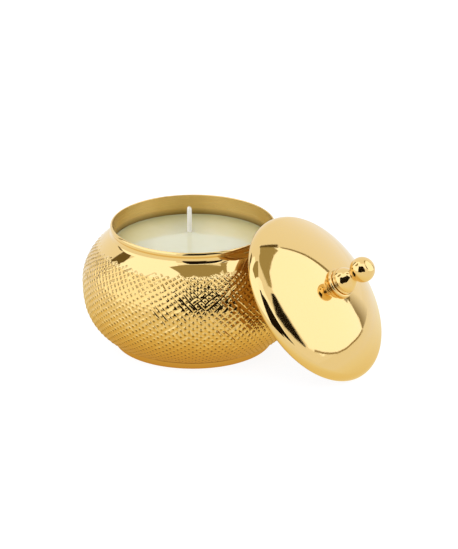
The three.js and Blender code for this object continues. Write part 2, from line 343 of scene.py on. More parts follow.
def belly_radius(height):
    """Radius of the outer belly at heights in millimetres."""
    above = height > BELLY_Z
    power = np.where(above, RISE_POWER, DROP_POWER)
    reach = np.where(above, BELLY_RISE, BELLY_DROP)
    share = np.abs(height - BELLY_Z) / reach
    return BELLY_RADIUS * (1 - share ** power) ** (1 / power)


def shoulder_height(radius):
    return BELLY_Z + BELLY_RISE * (1 - (radius / BELLY_RADIUS) ** RISE_POWER) ** (1 / RISE_POWER)


MOUTH_Z = shoulder_height(MOUTH_RADIUS)


class Profile:
    """The outer belly, sampled finely. travel is the distance along it divided by the radius there, so cells
    drawn evenly in angle and travel keep their shape."""

    def __init__(self, count=4001):
        swing = np.sin(np.linspace(-math.pi / 2, math.pi / 2, count))
        self.height = (SHELL_BOTTOM + MOUTH_Z) / 2 + (MOUTH_Z - SHELL_BOTTOM) / 2 * swing
        self.radius = belly_radius(self.height)
        along = np.hypot(np.diff(self.radius), np.diff(self.height))
        middle = (self.radius[1:] + self.radius[:-1]) / 2
        self.travel = np.concatenate([[0], np.cumsum(along / middle)])
        rise = np.gradient(self.height, self.travel)
        run = np.gradient(self.radius, self.travel)
        self.out = rise / np.hypot(rise, run)
        self.up = -run / np.hypot(rise, run)

    def at(self, travel):
        """Radius, height, and the outward normal's two parts at travels."""
        return [np.interp(travel, self.travel, row) for row in (self.radius, self.height, self.out, self.up)]

    def travel_at(self, height):
        return np.interp(height, self.height, self.travel)


class Hatch:
    """The lattice of cells between the grooves. A cell is a pair of whole numbers: the rising groove and the
    falling groove that bound it. Once round the belly adds a full count of grooves, so a cell's tables are
    looked up by its own first turn."""

    def __init__(self, profile):
        self.profile = profile
        self.start = profile.travel_at(HATCH_BOTTOM)
        self.end = profile.travel_at(HATCH_TOP)
        self.rising = RISING_GROOVES / (2 * math.pi)
        self.falling = FALLING_GROOVES / (2 * math.pi)
        size = (3 * RISING_GROOVES, 3 * FALLING_GROOVES)
        self.stray = random.uniform(-GROOVE_WANDER, GROOVE_WANDER, size + (2,))
        self.size = PAD_HEIGHT * (1 + random.uniform(-PAD_SPREAD, PAD_SPREAD, size))
        self.lean = random.uniform(-PAD_LEAN, PAD_LEAN, size + (2,))
        self.ragged = random.uniform(-RAGGED, RAGGED, size)
        # How dark the painted shade spot at the middle of each pad is; the pad itself has no pit.
        self.painted_spot_shade = random.uniform(0.6, 1.0, size)
        shallow = random.uniform(0, 1, size + (2,)) < FILLED_GROOVES
        self.filled = np.where(shallow, random.uniform(0.45, 0.9, size + (2,)), 0.0)

    def place(self, a, b):
        """Angle round the belly and travel up it of lattice positions."""
        across = a / self.rising
        back = b / self.falling
        travel = (across + back) / (RISING_RUN + FALLING_RUN)
        return travel * RISING_RUN - across, travel + self.start

    def first_turn(self, i, j):
        """The same cells, named by their first turn round the belly."""
        angle, _ = self.place(i + 0.5, j + 0.5)
        turns = np.floor(angle / (2 * math.pi)).astype(int)
        return i + turns * RISING_GROOVES, j - turns * FALLING_GROOVES

    def cells(self):
        """Every cell of the first turn that touches the band."""
        i, j = np.meshgrid(
            np.arange(-RISING_GROOVES - 2, RISING_GROOVES),
            np.arange(-2, 2 * FALLING_GROOVES),
            indexing="ij",
        )
        i, j = i.ravel(), j.ravel()
        angle, travel = self.place(i + 0.5, j + 0.5)
        margin = 3.2 / BELLY_RADIUS
        inside = (angle >= 0) & (angle < 2 * math.pi)
        inside &= (travel > self.start - margin) & (travel < self.end + margin)
        return i[inside], j[inside]

    def strength(self, i, j):
        """How fully the pads are raised: less at the ragged top edge and close to the foot."""
        _, travel = self.place(i + 0.5, j + 0.5)
        height = self.profile.at(travel)[1] + self.ragged[self.first_turn(i, j)]
        fade = np.minimum(HATCH_TOP - 0.5 - height, height - HATCH_BOTTOM) / HATCH_FADE
        return np.clip(fade, 0, 1)

    def node(self, i, j):
        """Lattice position of a crossing, strayed a little inside the band."""
        steady = np.minimum(self.strength(i, j), self.strength(i - 1, j - 1))
        stray = self.stray[self.first_turn(i, j)] * steady[:, None]
        return i + stray[:, 0], j + stray[:, 1]


def pad_rise(t, before, after):
    """Height across a pad, 0 to 1, and its slope. before and after are how shallow the two grooves are."""
    half = 0.5 - GROOVE_SHARE
    least = np.where(t < 0.5, before, after)
    climb = np.clip((np.minimum(t, 1 - t) - GROOVE_SHARE) / half, 0, 1)
    rise = least + (1 - least) * (1 - (1 - climb) ** 2)
    slope = (1 - least) * 2 * (1 - climb) / half * np.sign(0.5 - t)
    return rise, np.where(climb > 0, slope, 0.0)


def cell_surface(hatch, i, j, t, u):
    """Points of the plain belly at shares t and u across each cell, and the normals there."""
    corners = [hatch.node(i + di, j + dj) for di, dj in ((0, 0), (1, 0), (0, 1), (1, 1))]
    shares = [(1 - t) * (1 - u), t * (1 - u), (1 - t) * u, t * u]
    a, b = [sum(corner[n][:, None] * share for corner, share in zip(corners, shares)) for n in (0, 1)]
    angle, travel = hatch.place(a, b)
    radius, height, out, up = hatch.profile.at(travel)
    points = np.stack([radius * np.cos(angle), radius * np.sin(angle), height], -1)
    return points, np.stack([out * np.cos(angle), out * np.sin(angle), up], -1)


def band_faces(hatch, i, j):
    """Faces on each cell, then across its grooves to the next cells, then over the crossing."""
    steps = len(CELL_STEPS)
    last = steps - 1
    middle = steps * steps
    index = {cell: n * (middle + 1) for n, cell in enumerate(zip(i.tolist(), j.tolist()))}
    neighbours = []
    for di, dj in ((1, 0), (0, 1), (1, 1)):
        rows = hatch.first_turn(i + di, j + dj)
        neighbours.append([index.get(cell) for cell in zip(*(row.tolist() for row in rows))])
    faces = []
    for first, right, above, corner in zip(index.values(), *neighbours):
        for p in range(last):
            for q in range(last):
                here = first + p * steps + q
                face = (here, here + steps, here + steps + 1, here + 1)
                if (p, q) == (1, 1):
                    faces += [(*edge, first + middle) for edge in zip(face, face[1:] + face[:1])]
                else:
                    faces.append(face)
        for q in range(last):
            if right is not None:
                edge = first + last * steps + q
                faces.append((edge, right + q, right + q + 1, edge + 1))
            if above is not None:
                edge = first + q * steps + last
                faces.append((edge, edge + steps, above + (q + 1) * steps, above + q * steps))
        if None not in (right, above, corner):
            faces.append((first + middle - 1, right + last, corner, above + last * steps))
    return faces


def hatched_band(profile):
    """Points, faces, normals, pad shares and painted shade spots of the band. Each cell has four by four points,
    and one in the middle of its pad."""
    hatch = Hatch(profile)
    i, j = hatch.cells()
    t, u = [np.append(grid.ravel(), 0.5) for grid in np.meshgrid(CELL_STEPS, CELL_STEPS, indexing="ij")]
    point, normal = cell_surface(hatch, i, j, t, u)
    nudge = 0.01
    along_t = (cell_surface(hatch, i, j, t + nudge, u)[0] - point) / nudge
    along_u = (cell_surface(hatch, i, j, t, u + nudge)[0] - point) / nudge

    def table(values, di=0, dj=0):
        return values[hatch.first_turn(i + di, j + dj)]

    filled = table(hatch.filled)
    rise_t, slope_t = pad_rise(t, filled[:, :1], table(hatch.filled, di=1)[:, :1])
    rise_u, slope_u = pad_rise(u, filled[:, 1:], table(hatch.filled, dj=1)[:, 1:])
    size = (table(hatch.size) * hatch.strength(i, j))[:, None]
    first_rise = pad_rise(CELL_STEPS[1], 0, 0)[0]
    lean = table(hatch.lean)
    tip = 1 + lean[:, :1] * (t - 0.5) + lean[:, 1:] * (u - 0.5)
    pad = rise_t * rise_u
    slope_along_t = size * (slope_t * np.minimum(rise_u / first_rise, 1) * tip + pad * lean[:, :1])
    slope_along_u = size * (slope_u * np.minimum(rise_t / first_rise, 1) * tip + pad * lean[:, 1:])

    # The tilted normal takes away each slope along the direction that crosses the other one.
    cross_u = np.cross(along_u, normal)
    cross_t = np.cross(normal, along_t)
    area = np.sum(along_t * cross_u, -1, keepdims=True)
    tilted = normal - (slope_along_t[..., None] * cross_u + slope_along_u[..., None] * cross_t) / area
    tilted /= np.linalg.norm(tilted, axis=-1, keepdims=True)
    points = point + normal * (size * pad * tip)[..., None]
    # Only the middle point of each pad carries the painted shade spot, which the material paints dark brown.
    painted_spot_shades = (hatch.strength(i, j) * table(hatch.painted_spot_shade))[:, None] * (np.arange(len(t)) == len(t) - 1)
    return points.reshape(-1, 3), band_faces(hatch, i, j), tilted.reshape(-1, 3), pad.ravel(), painted_spot_shades.ravel()


def turned_ends(profile):
    """The plain turned parts of the shell, below the hatched band and above it round to the inside."""
    below = np.linspace(profile.travel_at(SHELL_BOTTOM), profile.travel_at(HATCH_BOTTOM - STRIP), 5)
    radius, height, _, _ = profile.at(below)
    recess = FOOT_RADIUS - 0.8
    lower = [(0, SHELL_BOTTOM), (FOOT_RADIUS - FOOT_WALL, SHELL_BOTTOM), (FOOT_RADIUS - 1, SHELL_BOTTOM)]
    lower += [(recess, FOOT_HEIGHT), (recess, FOOT_HEIGHT + 0.5)]
    lower += [(FOOT_RADIUS + 0.6, FOOT_HEIGHT + 0.6), (FOOT_RADIUS + 1.8, FOOT_HEIGHT + 0.66)]
    lower += [(r, z) for r, z in zip(radius, height) if z > FOOT_HEIGHT + 0.72]
    above = np.linspace(profile.travel_at(HATCH_TOP + STRIP), profile.travel[-1], 24)
    radius, height, _, _ = profile.at(above)
    inner_edge = [(MOUTH_RADIUS - 0.02, MOUTH_Z - 0.3), (MOUTH_RADIUS, MOUTH_Z - SHEET)]
    swing = np.sin(np.linspace(math.pi / 2, -math.pi / 2, 24))
    floor_z = SHELL_BOTTOM + SHEET
    inner_height = (MOUTH_Z - SHEET + floor_z) / 2 + (MOUTH_Z - SHEET - floor_z) / 2 * swing
    inner_radius = belly_radius(inner_height) - SHEET
    inside = [(r, z) for r, z in zip(inner_radius, inner_height) if r > MOUTH_RADIUS or z < BELLY_Z]
    return lower, list(zip(radius, height)) + inner_edge + inside + [(0, floor_z)]


def shade_bowl(mesh, profile):
    """The pads' own slopes and the belly's true curve set the shading; the rest keeps its plain normals."""
    points = vectors(mesh.vertices, "co") / MM
    facing = vectors(mesh.attributes["facing"].data, "vector")
    own = vectors(mesh.vertex_normals, "vector")
    height = points[:, 2]
    radius = np.hypot(points[:, 0], points[:, 1])
    _, _, out, up = profile.at(profile.travel_at(height))
    curve = np.stack([out * points[:, 0] / radius.clip(1), out * points[:, 1] / radius.clip(1), up], -1)
    near = np.abs(radius - belly_radius(height.clip(SHELL_BOTTOM, MOUTH_Z))) < 0.01
    on_belly = near & (height > HATCH_BOTTOM - 2 * STRIP)
    hatched = np.linalg.norm(facing, axis=1) > 0.5
    shaded = np.where(hatched[:, None], facing, np.where(on_belly[:, None], curve, own))
    shaded /= np.linalg.norm(shaded, axis=1, keepdims=True)
    mesh.normals_split_custom_set_from_vertices(shaded)
    mesh.attributes.remove(mesh.attributes["facing"])


def hammered_bowl():
    """The shell: the hatched band is cut level at both edges and bridged to the turned ends."""
    profile = Profile()
    points, faces, normals, pads, painted_spot_shades = hatched_band(profile)
    shell = make_object("hammered_bowl", points, faces)
    mesh = shell.data
    mesh.attributes.new("facing", "FLOAT_VECTOR", "POINT").data.foreach_set("vector", normals.ravel())
    add_values(mesh, "pad", pads)
    add_values(mesh, "painted_spot_shade", painted_spot_shades)

    bm = bmesh.new()
    bm.from_mesh(mesh)
    for level, up in ((HATCH_BOTTOM, -1), (HATCH_TOP, 1)):
        everything = bm.verts[:] + bm.edges[:] + bm.faces[:]
        cut = {"plane_co": (0, 0, level * MM), "plane_no": (0, 0, up)}
        bmesh.ops.bisect_plane(bm, geom=everything, clear_outer=True, **cut)
    for outline in turned_ends(profile):
        end_points, end_faces = turned_mesh(outline, ROUND, closed=False)
        end = bpy.data.meshes.new("end")
        end.from_pydata((np.asarray(end_points) * MM).tolist(), [], end_faces)
        bm.from_mesh(end)
        bpy.data.meshes.remove(end)
    for level in (HATCH_BOTTOM, HATCH_TOP):
        rims = [
            edge for edge in bm.edges
            if edge.is_boundary and abs(edge.verts[0].co.z / MM - level) < 2 * STRIP
        ]
        bmesh.ops.bridge_loops(bm, edges=rims)
    bmesh.ops.recalc_face_normals(bm, faces=bm.faces)
    bm.to_mesh(mesh)
    bm.free()
    mesh.shade_smooth()
    shade_bowl(mesh, profile)
    return shell


# ------------------------------------------------------------------ bowl pieces

def smoothstep(value):
    value = min(max(value, 0), 1)
    return value * value * (3 - 2 * value)


COLLAR_BOTTOM = WAX_LEVEL - 0.8


def collar_outline():
    """A neck with a softly rolled lip, and a foot that spreads over the shoulder."""
    spread = 1.5
    seat = NECK_WAIST + spread
    seat_z = shoulder_height(seat)
    crest = LIP_RADIUS - 0.75
    roll_z = BOWL_HEIGHT - 1.5
    side = []
    for height in np.linspace(seat_z, roll_z, 26):
        foot = spread * math.exp(-(height - seat_z) / 0.9)
        lip_out = (LIP_RADIUS - NECK_WAIST) * smoothstep((height - roll_z + 1.6) / 1.6)
        side.append((NECK_WAIST + foot + lip_out, height))
    roll = [(crest + (LIP_RADIUS - crest) * math.cos(a), roll_z + 1.5 * math.sin(a))
            for a in np.linspace(0, math.pi / 2, 14)]
    inner_roll = arc(NECK_RADIUS + 0.35, BOWL_HEIGHT - 0.35, 0.35, 90, 180, 6)
    spigot = MOUTH_RADIUS - 0.1
    return rounded(
        [(NECK_RADIUS, COLLAR_BOTTOM, 0.2), (spigot, COLLAR_BOTTOM, 0.2), (spigot, seat_z - 0.6, 0)]
        + [(seat, seat_z - 0.05, 0)]
        + plain(side[1:])
        + plain(roll[1:])
        + plain(inner_roll)
        + [(NECK_RADIUS, BOWL_HEIGHT - 0.6, 0), (NECK_RADIUS, WAX_LEVEL + 2, 0)]
    )


def foot_outline():
    edge = 0.45
    swell = 0.06
    inner = FOOT_RADIUS - FOOT_WALL
    side = FOOT_RADIUS - swell
    top = FOOT_HEIGHT - 0.02
    crown = [(side + swell * math.sin(math.pi * s), edge + (FOOT_HEIGHT - 2 * edge) * s)
             for s in np.linspace(0, 1, 9)]
    return rounded(
        [(inner, 0, 0.3), (FOOT_RADIUS - 1, 0, 0)]
        + plain(arc(side - edge, edge, edge, -90, 0, 7))
        + plain(crown[1:-1])
        + [(side, top, 0.15), (inner, top, 0.2)]
    )


def base_outline():
    """A flat disc whose underside keeps the shallow rings of its turning."""
    rings = 9
    outline = [(0, 0.12), (2.2, 0.12), (2.5, 0.0)]
    for k in range(rings):
        start = 3.2 + k * (BASE_DISC_RADIUS - 4) / rings
        outline += [(start, 0), (start + 0.25, 0.09), (start + 0.5, 0)]
    side = BASE_DISC_RADIUS + 0.2
    return outline + [(side, 0), (side, BASE_DISC_THICKNESS), (0, BASE_DISC_THICKNESS)]


# ------------------------------------------------------------------ candle pieces

def wick_path(start_z, end_z, count):
    """The wick's centreline between two heights, through the same points as the CAD wick."""
    shares = [0, 0, 0, 0.25, 0.8, 1, 0.98, 1.01]
    heights = [SUSTAINER_Z, SUSTAINER_Z + 3, SUSTAINER_Z + 6, 24, 40, WAX_LEVEL, WAX_LEVEL + 7, 64.4]
    path = []
    for height in np.linspace(start_z, end_z, count):
        k = min(max(int(np.searchsorted(heights, height)) - 1, 0), len(heights) - 2)
        t = (height - heights[k]) / (heights[k + 1] - heights[k])
        before, after = shares[max(k - 1, 0)], shares[min(k + 2, len(shares) - 1)]
        share = catmull_rom(before, shares[k], shares[k + 1], after, t)
        path.append(Vector((WICK_DRIFT.x * share, WICK_DRIFT.y * share, height)))
    return path


WICK_AT_WAX = wick_path(WAX_LEVEL, WAX_LEVEL + 1, 2)[0].to_2d()
BRAID_START = WAX_LEVEL - 2
STRANDS = 4                 # strands that turn each way
BRAID_PITCH = 5.2           # height in which a strand goes once round


def braided_strand(k, hand, path):
    """One strand of the braid, passing over and under the strands that turn the other way."""
    start = 2 * math.pi * k / STRANDS
    line = []
    for centre in path:
        turn = start + hand * 2 * math.pi * (centre.z - BRAID_START) / BRAID_PITCH
        weave = math.cos(STRANDS * turn * hand + (0 if hand > 0 else math.pi))
        radius = WICK_RADIUS * (0.66 + 0.12 * weave)
        squeeze = 1 - 0.10 * smoothstep((centre.z - WICK_TIP + 3) / 3)
        line.append(centre + Vector((math.cos(turn), math.sin(turn), 0)) * radius * squeeze)
    thickness = WICK_RADIUS * 0.36
    return tube(line, lambda s: thickness * (1 - 0.25 * max(0, s - 0.96) / 0.04), 7)


def cotton_wick():
    """A braid over a soft core, cut at a slant, with a few loose fibres at the cut."""
    tip = WICK_TIP - 0.5
    braid_path = wick_path(BRAID_START, tip, 110)
    slant = 0.9
    parts = [tube(wick_path(SUSTAINER_Z + 0.1, tip - 0.3, 60), lambda s: WICK_RADIUS * 0.72, 14)]
    for hand in (1, -1):
        for k in range(STRANDS):
            angle = 2 * math.pi * k / STRANDS + hand * 2 * math.pi * (tip - BRAID_START) / BRAID_PITCH
            cut = int(round(len(braid_path) * (1 - 0.02 * slant * (1 + math.cos(angle)))))
            parts.append(braided_strand(k, hand, braid_path[:cut]))
    top = braid_path[-1]
    for _ in range(22):
        angle = random.uniform(0, 2 * math.pi)
        spread = random.uniform(0.1, 0.75) * WICK_RADIUS
        root = top + Vector((math.cos(angle) * spread, math.sin(angle) * spread, -0.7))
        bend = Vector((math.cos(angle), math.sin(angle), 0)) * random.uniform(0.1, 0.4)
        height = Vector((0, 0, random.uniform(0.5, 1.15)))
        fibre = [root + height * s + bend * s * s for s in np.linspace(0, 1, 6)]
        parts.append(tube(fibre, lambda s: 0.075 * (1 - 0.6 * s), 5))
    return merged(parts)


def wax_surface(angles, shares):
    """Points of the wax surface on rays from the wick to the wall, climbing a little at both."""
    wall = NECK_RADIUS - 0.02
    near_wick = WICK_RADIUS * 0.7
    points = []
    for share in shares:
        for angle in angles:
            direction = Vector((math.cos(angle), math.sin(angle)))
            along = WICK_AT_WAX.dot(direction)
            reach = -along + math.sqrt(along ** 2 + wall ** 2 - WICK_AT_WAX.length_squared)
            distance = near_wick + (reach - near_wick) * share
            place = WICK_AT_WAX + direction * distance
            climb = 0.55 * math.exp(-(distance - near_wick) / 0.6)
            climb += 0.35 * math.exp(-(wall - place.length) / 0.5)
            sag = -0.25 * (1 - (place.length / wall) ** 2)
            ripple = 0.02 * math.sin(place.x * 0.33 + 1.3) * math.sin(place.y * 0.27 + 0.4)
            points.append((place.x, place.y, WAX_LEVEL + sag + climb + ripple))
    return points


def wax_fill():
    """The poured wax: its surface, the side that follows the neck and shell, and the underside."""
    sides = 192
    angles = np.arange(sides) * 2 * math.pi / sides
    dense = np.linspace(0, 1, 40)
    shares = dense - 0.12 * np.sin(2 * math.pi * dense)
    points = wax_surface(angles, shares)
    points.insert(0, (WICK_AT_WAX.x, WICK_AT_WAX.y, WAX_LEVEL + 0.3))
    gap = 0.35
    bottom = SHELL_BOTTOM + SHEET + gap
    wall_z = np.array([WAX_LEVEL - 1.6, 45, 38, 30, 20, 12, 7])
    side = [(NECK_RADIUS - 0.02, COLLAR_BOTTOM - 0.25)]
    side += list(zip(belly_radius(wall_z) - SHEET - gap, wall_z))
    side += [(36, bottom), (SUSTAINER_Z + 4, bottom)]
    rings = [list(range(1 + k * sides, 1 + (k + 1) * sides)) for k in range(len(shares))]
    rim = [points[k] for k in rings[-1]]
    for radius, height in side:
        rings.append(list(range(len(points), len(points) + sides)))
        for x, y, _ in rim:
            angle = math.atan2(y, x)
            points.append((radius * math.cos(angle), radius * math.sin(angle), height))
    faces = []
    for k in range(sides):
        j = (k + 1) % sides
        faces.append([0, rings[0][k], rings[0][j]])
        for inner, outer in zip(rings, rings[1:]):
            faces.append([inner[k], outer[k], outer[j], inner[j]])
    faces.append(rings[-1][::-1])
    return points, faces


# ------------------------------------------------------------------ lid pieces

def dome_sizes(inset):
    """The dome's edge radius, height, the radius to its edge's centre, and its sphere's radius."""
    edge = EDGE_RADIUS - inset
    height = DOME_HEIGHT - inset
    edge_centre = LID_RADIUS - EDGE_RADIUS
    return edge, height, edge_centre, (edge_centre ** 2 + height ** 2 - edge ** 2) / (2 * (height - edge))


def dome_height(radius):
    """Height of the lid's spherical cap above the plane of its widest circle."""
    _, height, _, sphere = dome_sizes(0)
    return height - sphere + math.sqrt(sphere ** 2 - radius ** 2)


def dome_outline(hole, inset, count):
    """The cap and its rounded edge, from the hole on the axis out to the widest circle."""
    edge, height, edge_centre, sphere = dome_sizes(inset)
    start = 90 - math.degrees(math.asin(hole / sphere))
    meeting = 90 - math.degrees(math.atan2(edge_centre, sphere - height))
    cap = arc(0, height - sphere, sphere, start, meeting, count - 1)
    return cap + arc(edge_centre, 0, edge, meeting, 0, 16)[1:]


SCREW_HOLE = 2.3


def lid_outline():
    hem = LID_RADIUS - HEM_RADIUS
    curl = 0.3
    lip = HEM_INNER_RADIUS + 0.6
    hem_top = LID_SHEET - HEM_RADIUS
    return rounded(
        plain(dome_outline(SCREW_HOLE, 0, 70))
        + plain(arc(hem, 0, HEM_RADIUS, 0, -90, 14)[1:])
        + [(lip, -HEM_RADIUS, 0), (HEM_INNER_RADIUS, -HEM_RADIUS, curl)]
        + [(HEM_INNER_RADIUS, hem_top, curl), (lip, hem_top, 0)]
        + plain(arc(hem, 0, HEM_RADIUS - LID_SHEET, -90, 0, 8))
        + plain(dome_outline(SCREW_HOLE, LID_SHEET, 40)[::-1][1:])
    )


def locating_ring_outline():
    flange_bottom = LID_SHEET - HEM_RADIUS + 0.02
    flange_top = flange_bottom + 0.8
    inner = RING_RADIUS - RING_WALL
    outer = RING_RADIUS + RING_FLANGE
    return rounded([
        (inner, -RING_DROP, 0.35),
        (RING_RADIUS, -RING_DROP, 0.45),
        (RING_RADIUS, flange_bottom, 0.15),
        (outer, flange_bottom, 0.2),
        (outer, flange_top, 0.2),
        (inner, flange_top, 0.3),
    ])


FLANGE_TOP = 18.4
BELL_FOOT = 18.6
BEAD_RADIUS = 6.7
BELL_RADIUS = 6.5


def flange_outline():
    rim = (FLANGE_TOP - dome_height(FLANGE_RADIUS)) / 2
    middle = FLANGE_TOP - rim
    edge = FLANGE_RADIUS - rim
    under = [(r, dome_height(r) + 0.01) for r in np.linspace(SCREW_HOLE, edge, 6)]
    return under + arc(edge, middle, rim, -80, 90, 14) + [(5.0, FLANGE_TOP), (SCREW_HOLE, FLANGE_TOP)]


def bell_outline():
    """A foot bead, a groove, a full bell-shaped body and a hollowed neck that cups the ball."""
    bead = 0.55
    groove_z = BELL_FOOT + 2 * bead + 0.2
    body = [(6.4, groove_z + 0.3), (6.6, groove_z + 0.7), (6.45, 21.5), (6.2, 22.4), (5.8, 23.2), (5.3, 24.0)]
    neck = [(4.7, 24.8), (4.2, 25.5), (3.75, 26.3), (3.5, 27.2), (3.65, 27.8)]
    seat = BALL_RADIUS + 0.02
    cup = [(r, BALL_HEIGHT - math.sqrt(seat ** 2 - r ** 2)) for r in np.linspace(3.7, 0, 7)]
    bore_top = BELL_FOOT + 5
    return rounded(
        [(SCREW_HOLE, BELL_FOOT, 0.1)]
        + plain(arc(BEAD_RADIUS - bead, BELL_FOOT + bead, bead, -90, 90, 8))
        + [(BELL_RADIUS - 0.45, groove_z, 0.1)]
        + plain(smooth_curve(body + neck, 4))
        + plain(cup)
        + [(0, bore_top, 0), (SCREW_HOLE, bore_top, 0.1)]
    )


def ball_outline():
    """Very slightly flattened along the axis, as a turned knob is."""
    flatness = 0.975
    points = arc(0, 0, BALL_RADIUS, -90, 90, 48)
    points[0] = (0, points[0][1])
    points[-1] = (0, points[-1][1])
    return [(radius, height * flatness) for radius, height in points]


WASHER_TOP = DOME_HEIGHT - LID_SHEET - 0.05
WASHER_THICKNESS = 0.8


def washer_outline():
    bottom = WASHER_TOP - WASHER_THICKNESS
    return rounded([
        (SCREW_HOLE, bottom, 0.1),
        (WASHER_RADIUS, bottom, 0.2),
        (WASHER_RADIUS, WASHER_TOP, 0.15),
        (SCREW_HOLE, WASHER_TOP, 0.1),
    ])


def slotted_screw():
    """A turned screw with a crowned head, and a slot cut across it."""
    head_top = WASHER_TOP - WASHER_THICKNESS - 0.03
    head_bottom = head_top - SCREW_HEAD_HEIGHT
    tip = BELL_FOOT + 4.7
    crown = [(r, head_bottom + 0.5 * (r / SCREW_HEAD_RADIUS) ** 2) for r in np.linspace(0, 3.2, 8)]
    outline = rounded(
        plain(crown)
        + [(SCREW_HEAD_RADIUS, head_bottom + 0.8, 0.4), (SCREW_HEAD_RADIUS, head_top, 0.15)]
        + [(SCREW_SHANK, head_top, 0.1), (SCREW_SHANK, tip - 0.1, 0.5), (0, tip, 0)]
    )
    screw = turned("knob_fixing_screw", outline, SMALL_ROUND, LID_PLACE)
    slot_width, slot_depth = 0.9, 1.8
    bm = bmesh.new()
    size = Matrix.Diagonal((SCREW_HEAD_RADIUS * 3 * MM, slot_width * MM, slot_depth * MM, 1))
    bmesh.ops.create_cube(bm, size=1, matrix=Matrix.Translation((0, 0, head_bottom * MM)) @ size)
    slot = bpy.data.meshes.new("slot")
    bm.to_mesh(slot)
    bm.free()
    slot.transform(LID_PLACE)
    cutter = add_object("slot", slot)
    cut = screw.modifiers.new("slot", "BOOLEAN")
    cut.operation = "DIFFERENCE"
    cut.solver = "EXACT"
    cut.object = cutter
    bpy.context.view_layer.update()
    evaluated = screw.evaluated_get(bpy.context.evaluated_depsgraph_get())
    screw.data = bpy.data.meshes.new_from_object(evaluated)
    screw.modifiers.clear()
    bpy.data.objects.remove(cutter)
    return screw


# ------------------------------------------------------------------ materials

GOLD = (0.86, 0.61, 0.24)
# Painted shade in the grooves of the hatch.
PAINTED_GROOVE_SHADE_GOLD = (0.80, 0.53, 0.17)
PAD_GOLD = (0.86, 0.59, 0.21)
# Painted shade at the middle of each pad of the hatch.
PAINTED_SPOT_SHADE = (0.27, 0.17, 0.04)
KNOB_GOLD = (0.86, 0.60, 0.23)
INNER_GOLDS = ((0.82, 0.57, 0.21), (0.77, 0.52, 0.18))
# Painted shade on the lid's inner faces and its locating ring.
LID_INNER_PAINTED_SHADE_GOLDS = ((0.54, 0.35, 0.15), (0.49, 0.31, 0.13))
# Painted shadow line where the foot band meets the belly.
PAINTED_SHADOW_LINE_GOLDS = ((0.34, 0.20, 0.06), (0.28, 0.16, 0.05))


def new_material(name, **values):
    """A material and its node tree. values are the Principled shader's own sockets."""
    material = bpy.data.materials.new(name)
    material.use_nodes = True
    shader = material.node_tree.nodes["Principled BSDF"]
    for key, value in values.items():
        shader.inputs[key.replace("_", " ")].default_value = value
    return material, material.node_tree


def finished(material, **sockets):
    """Feeds sockets to the Principled shader, and gives the material back."""
    tree = material.node_tree
    for key, socket in sockets.items():
        tree.links.new(socket, tree.nodes["Principled BSDF"].inputs[key.replace("_", " ")])
    return material


def node(tree, kind, inputs=None, **settings):
    """Adds a node. Each input is a value or the socket that feeds it."""
    made = tree.nodes.new(kind)
    for key, value in settings.items():
        setattr(made, key, value)
    for key, value in (inputs or {}).items():
        if isinstance(value, bpy.types.NodeSocket):
            tree.links.new(value, made.inputs[key])
        else:
            made.inputs[key].default_value = value
    return made


def math_node(tree, operation, first, second=0.0):
    return node(tree, "ShaderNodeMath", {0: first, 1: second}, operation=operation).outputs[0]


def remap(tree, value, from_low, from_high, to_low, to_high):
    ends = {"From Min": from_low, "From Max": from_high, "To Min": to_low, "To Max": to_high}
    return node(tree, "ShaderNodeMapRange", {"Value": value, **ends}).outputs["Result"]


def blended(tree, factor, first, second):
    """A colour between two. Each is linear RGB, or the socket that gives it."""
    ends = [end if isinstance(end, bpy.types.NodeSocket) else (*end, 1) for end in (first, second)]
    inputs = {"Factor": factor, "A": ends[0], "B": ends[1]}
    return node(tree, "ShaderNodeMix", inputs, data_type="RGBA").outputs["Result"]


def noise(tree, scale, detail=3.0, stretch=(1, 1, 1)):
    """Noise over the piece's own space, in features per metre along each axis times stretch."""
    place = node(tree, "ShaderNodeTexCoord").outputs["Object"]
    mapped = node(tree, "ShaderNodeMapping", {"Vector": place, "Scale": stretch}).outputs["Vector"]
    made = node(tree, "ShaderNodeTexNoise", {"Vector": mapped, "Scale": scale, "Detail": detail})
    return made.outputs["Fac"]


def turning_rings(tree, per_mm):
    """Fine rings left by turning, from the distance along each piece's outline."""
    along = node(tree, "ShaderNodeAttribute", attribute_name="along").outputs["Fac"]
    inputs = {"W": math_node(tree, "MULTIPLY", along, per_mm), "Scale": 1.0, "Detail": 2.0}
    return node(tree, "ShaderNodeTexNoise", inputs, noise_dimensions="1D").outputs["Fac"]


def bump(tree, height, distance, before=None):
    """Adds a bump of some millimetres to an earlier one."""
    inputs = {"Height": height, "Distance": distance * MM, "Strength": 1.0}
    if before is not None:
        inputs["Normal"] = before
    return node(tree, "ShaderNodeBump", inputs).outputs["Normal"]


def polished_gold(name, tint, sheen, rings=0.0012):
    """Mirror-polished, lacquered gold: faint polishing haze, hairlines and the rings of its turning."""
    material, tree = new_material(name, Metallic=1.0, Coat_Weight=0.35, Coat_Roughness=0.03)
    haze = remap(tree, noise(tree, 38), 0.3, 0.7, sheen, sheen + 0.03)
    hairlines = remap(tree, noise(tree, 900, 2.0, (1, 0.03, 0.2)), 0.62, 0.72, 0.0, 0.03)
    tone = remap(tree, noise(tree, 14), 0.35, 0.65, 0.0, 1.0)
    colour = blended(tree, tone, tint, tuple(channel * 0.97 for channel in tint))
    rough = math_node(tree, "ADD", haze, hairlines)
    surface = bump(tree, noise(tree, 120, 1.0), 0.004)
    surface = bump(tree, turning_rings(tree, 5.0), rings, surface)
    return finished(material, Base_Color=colour, Roughness=rough, Normal=surface)


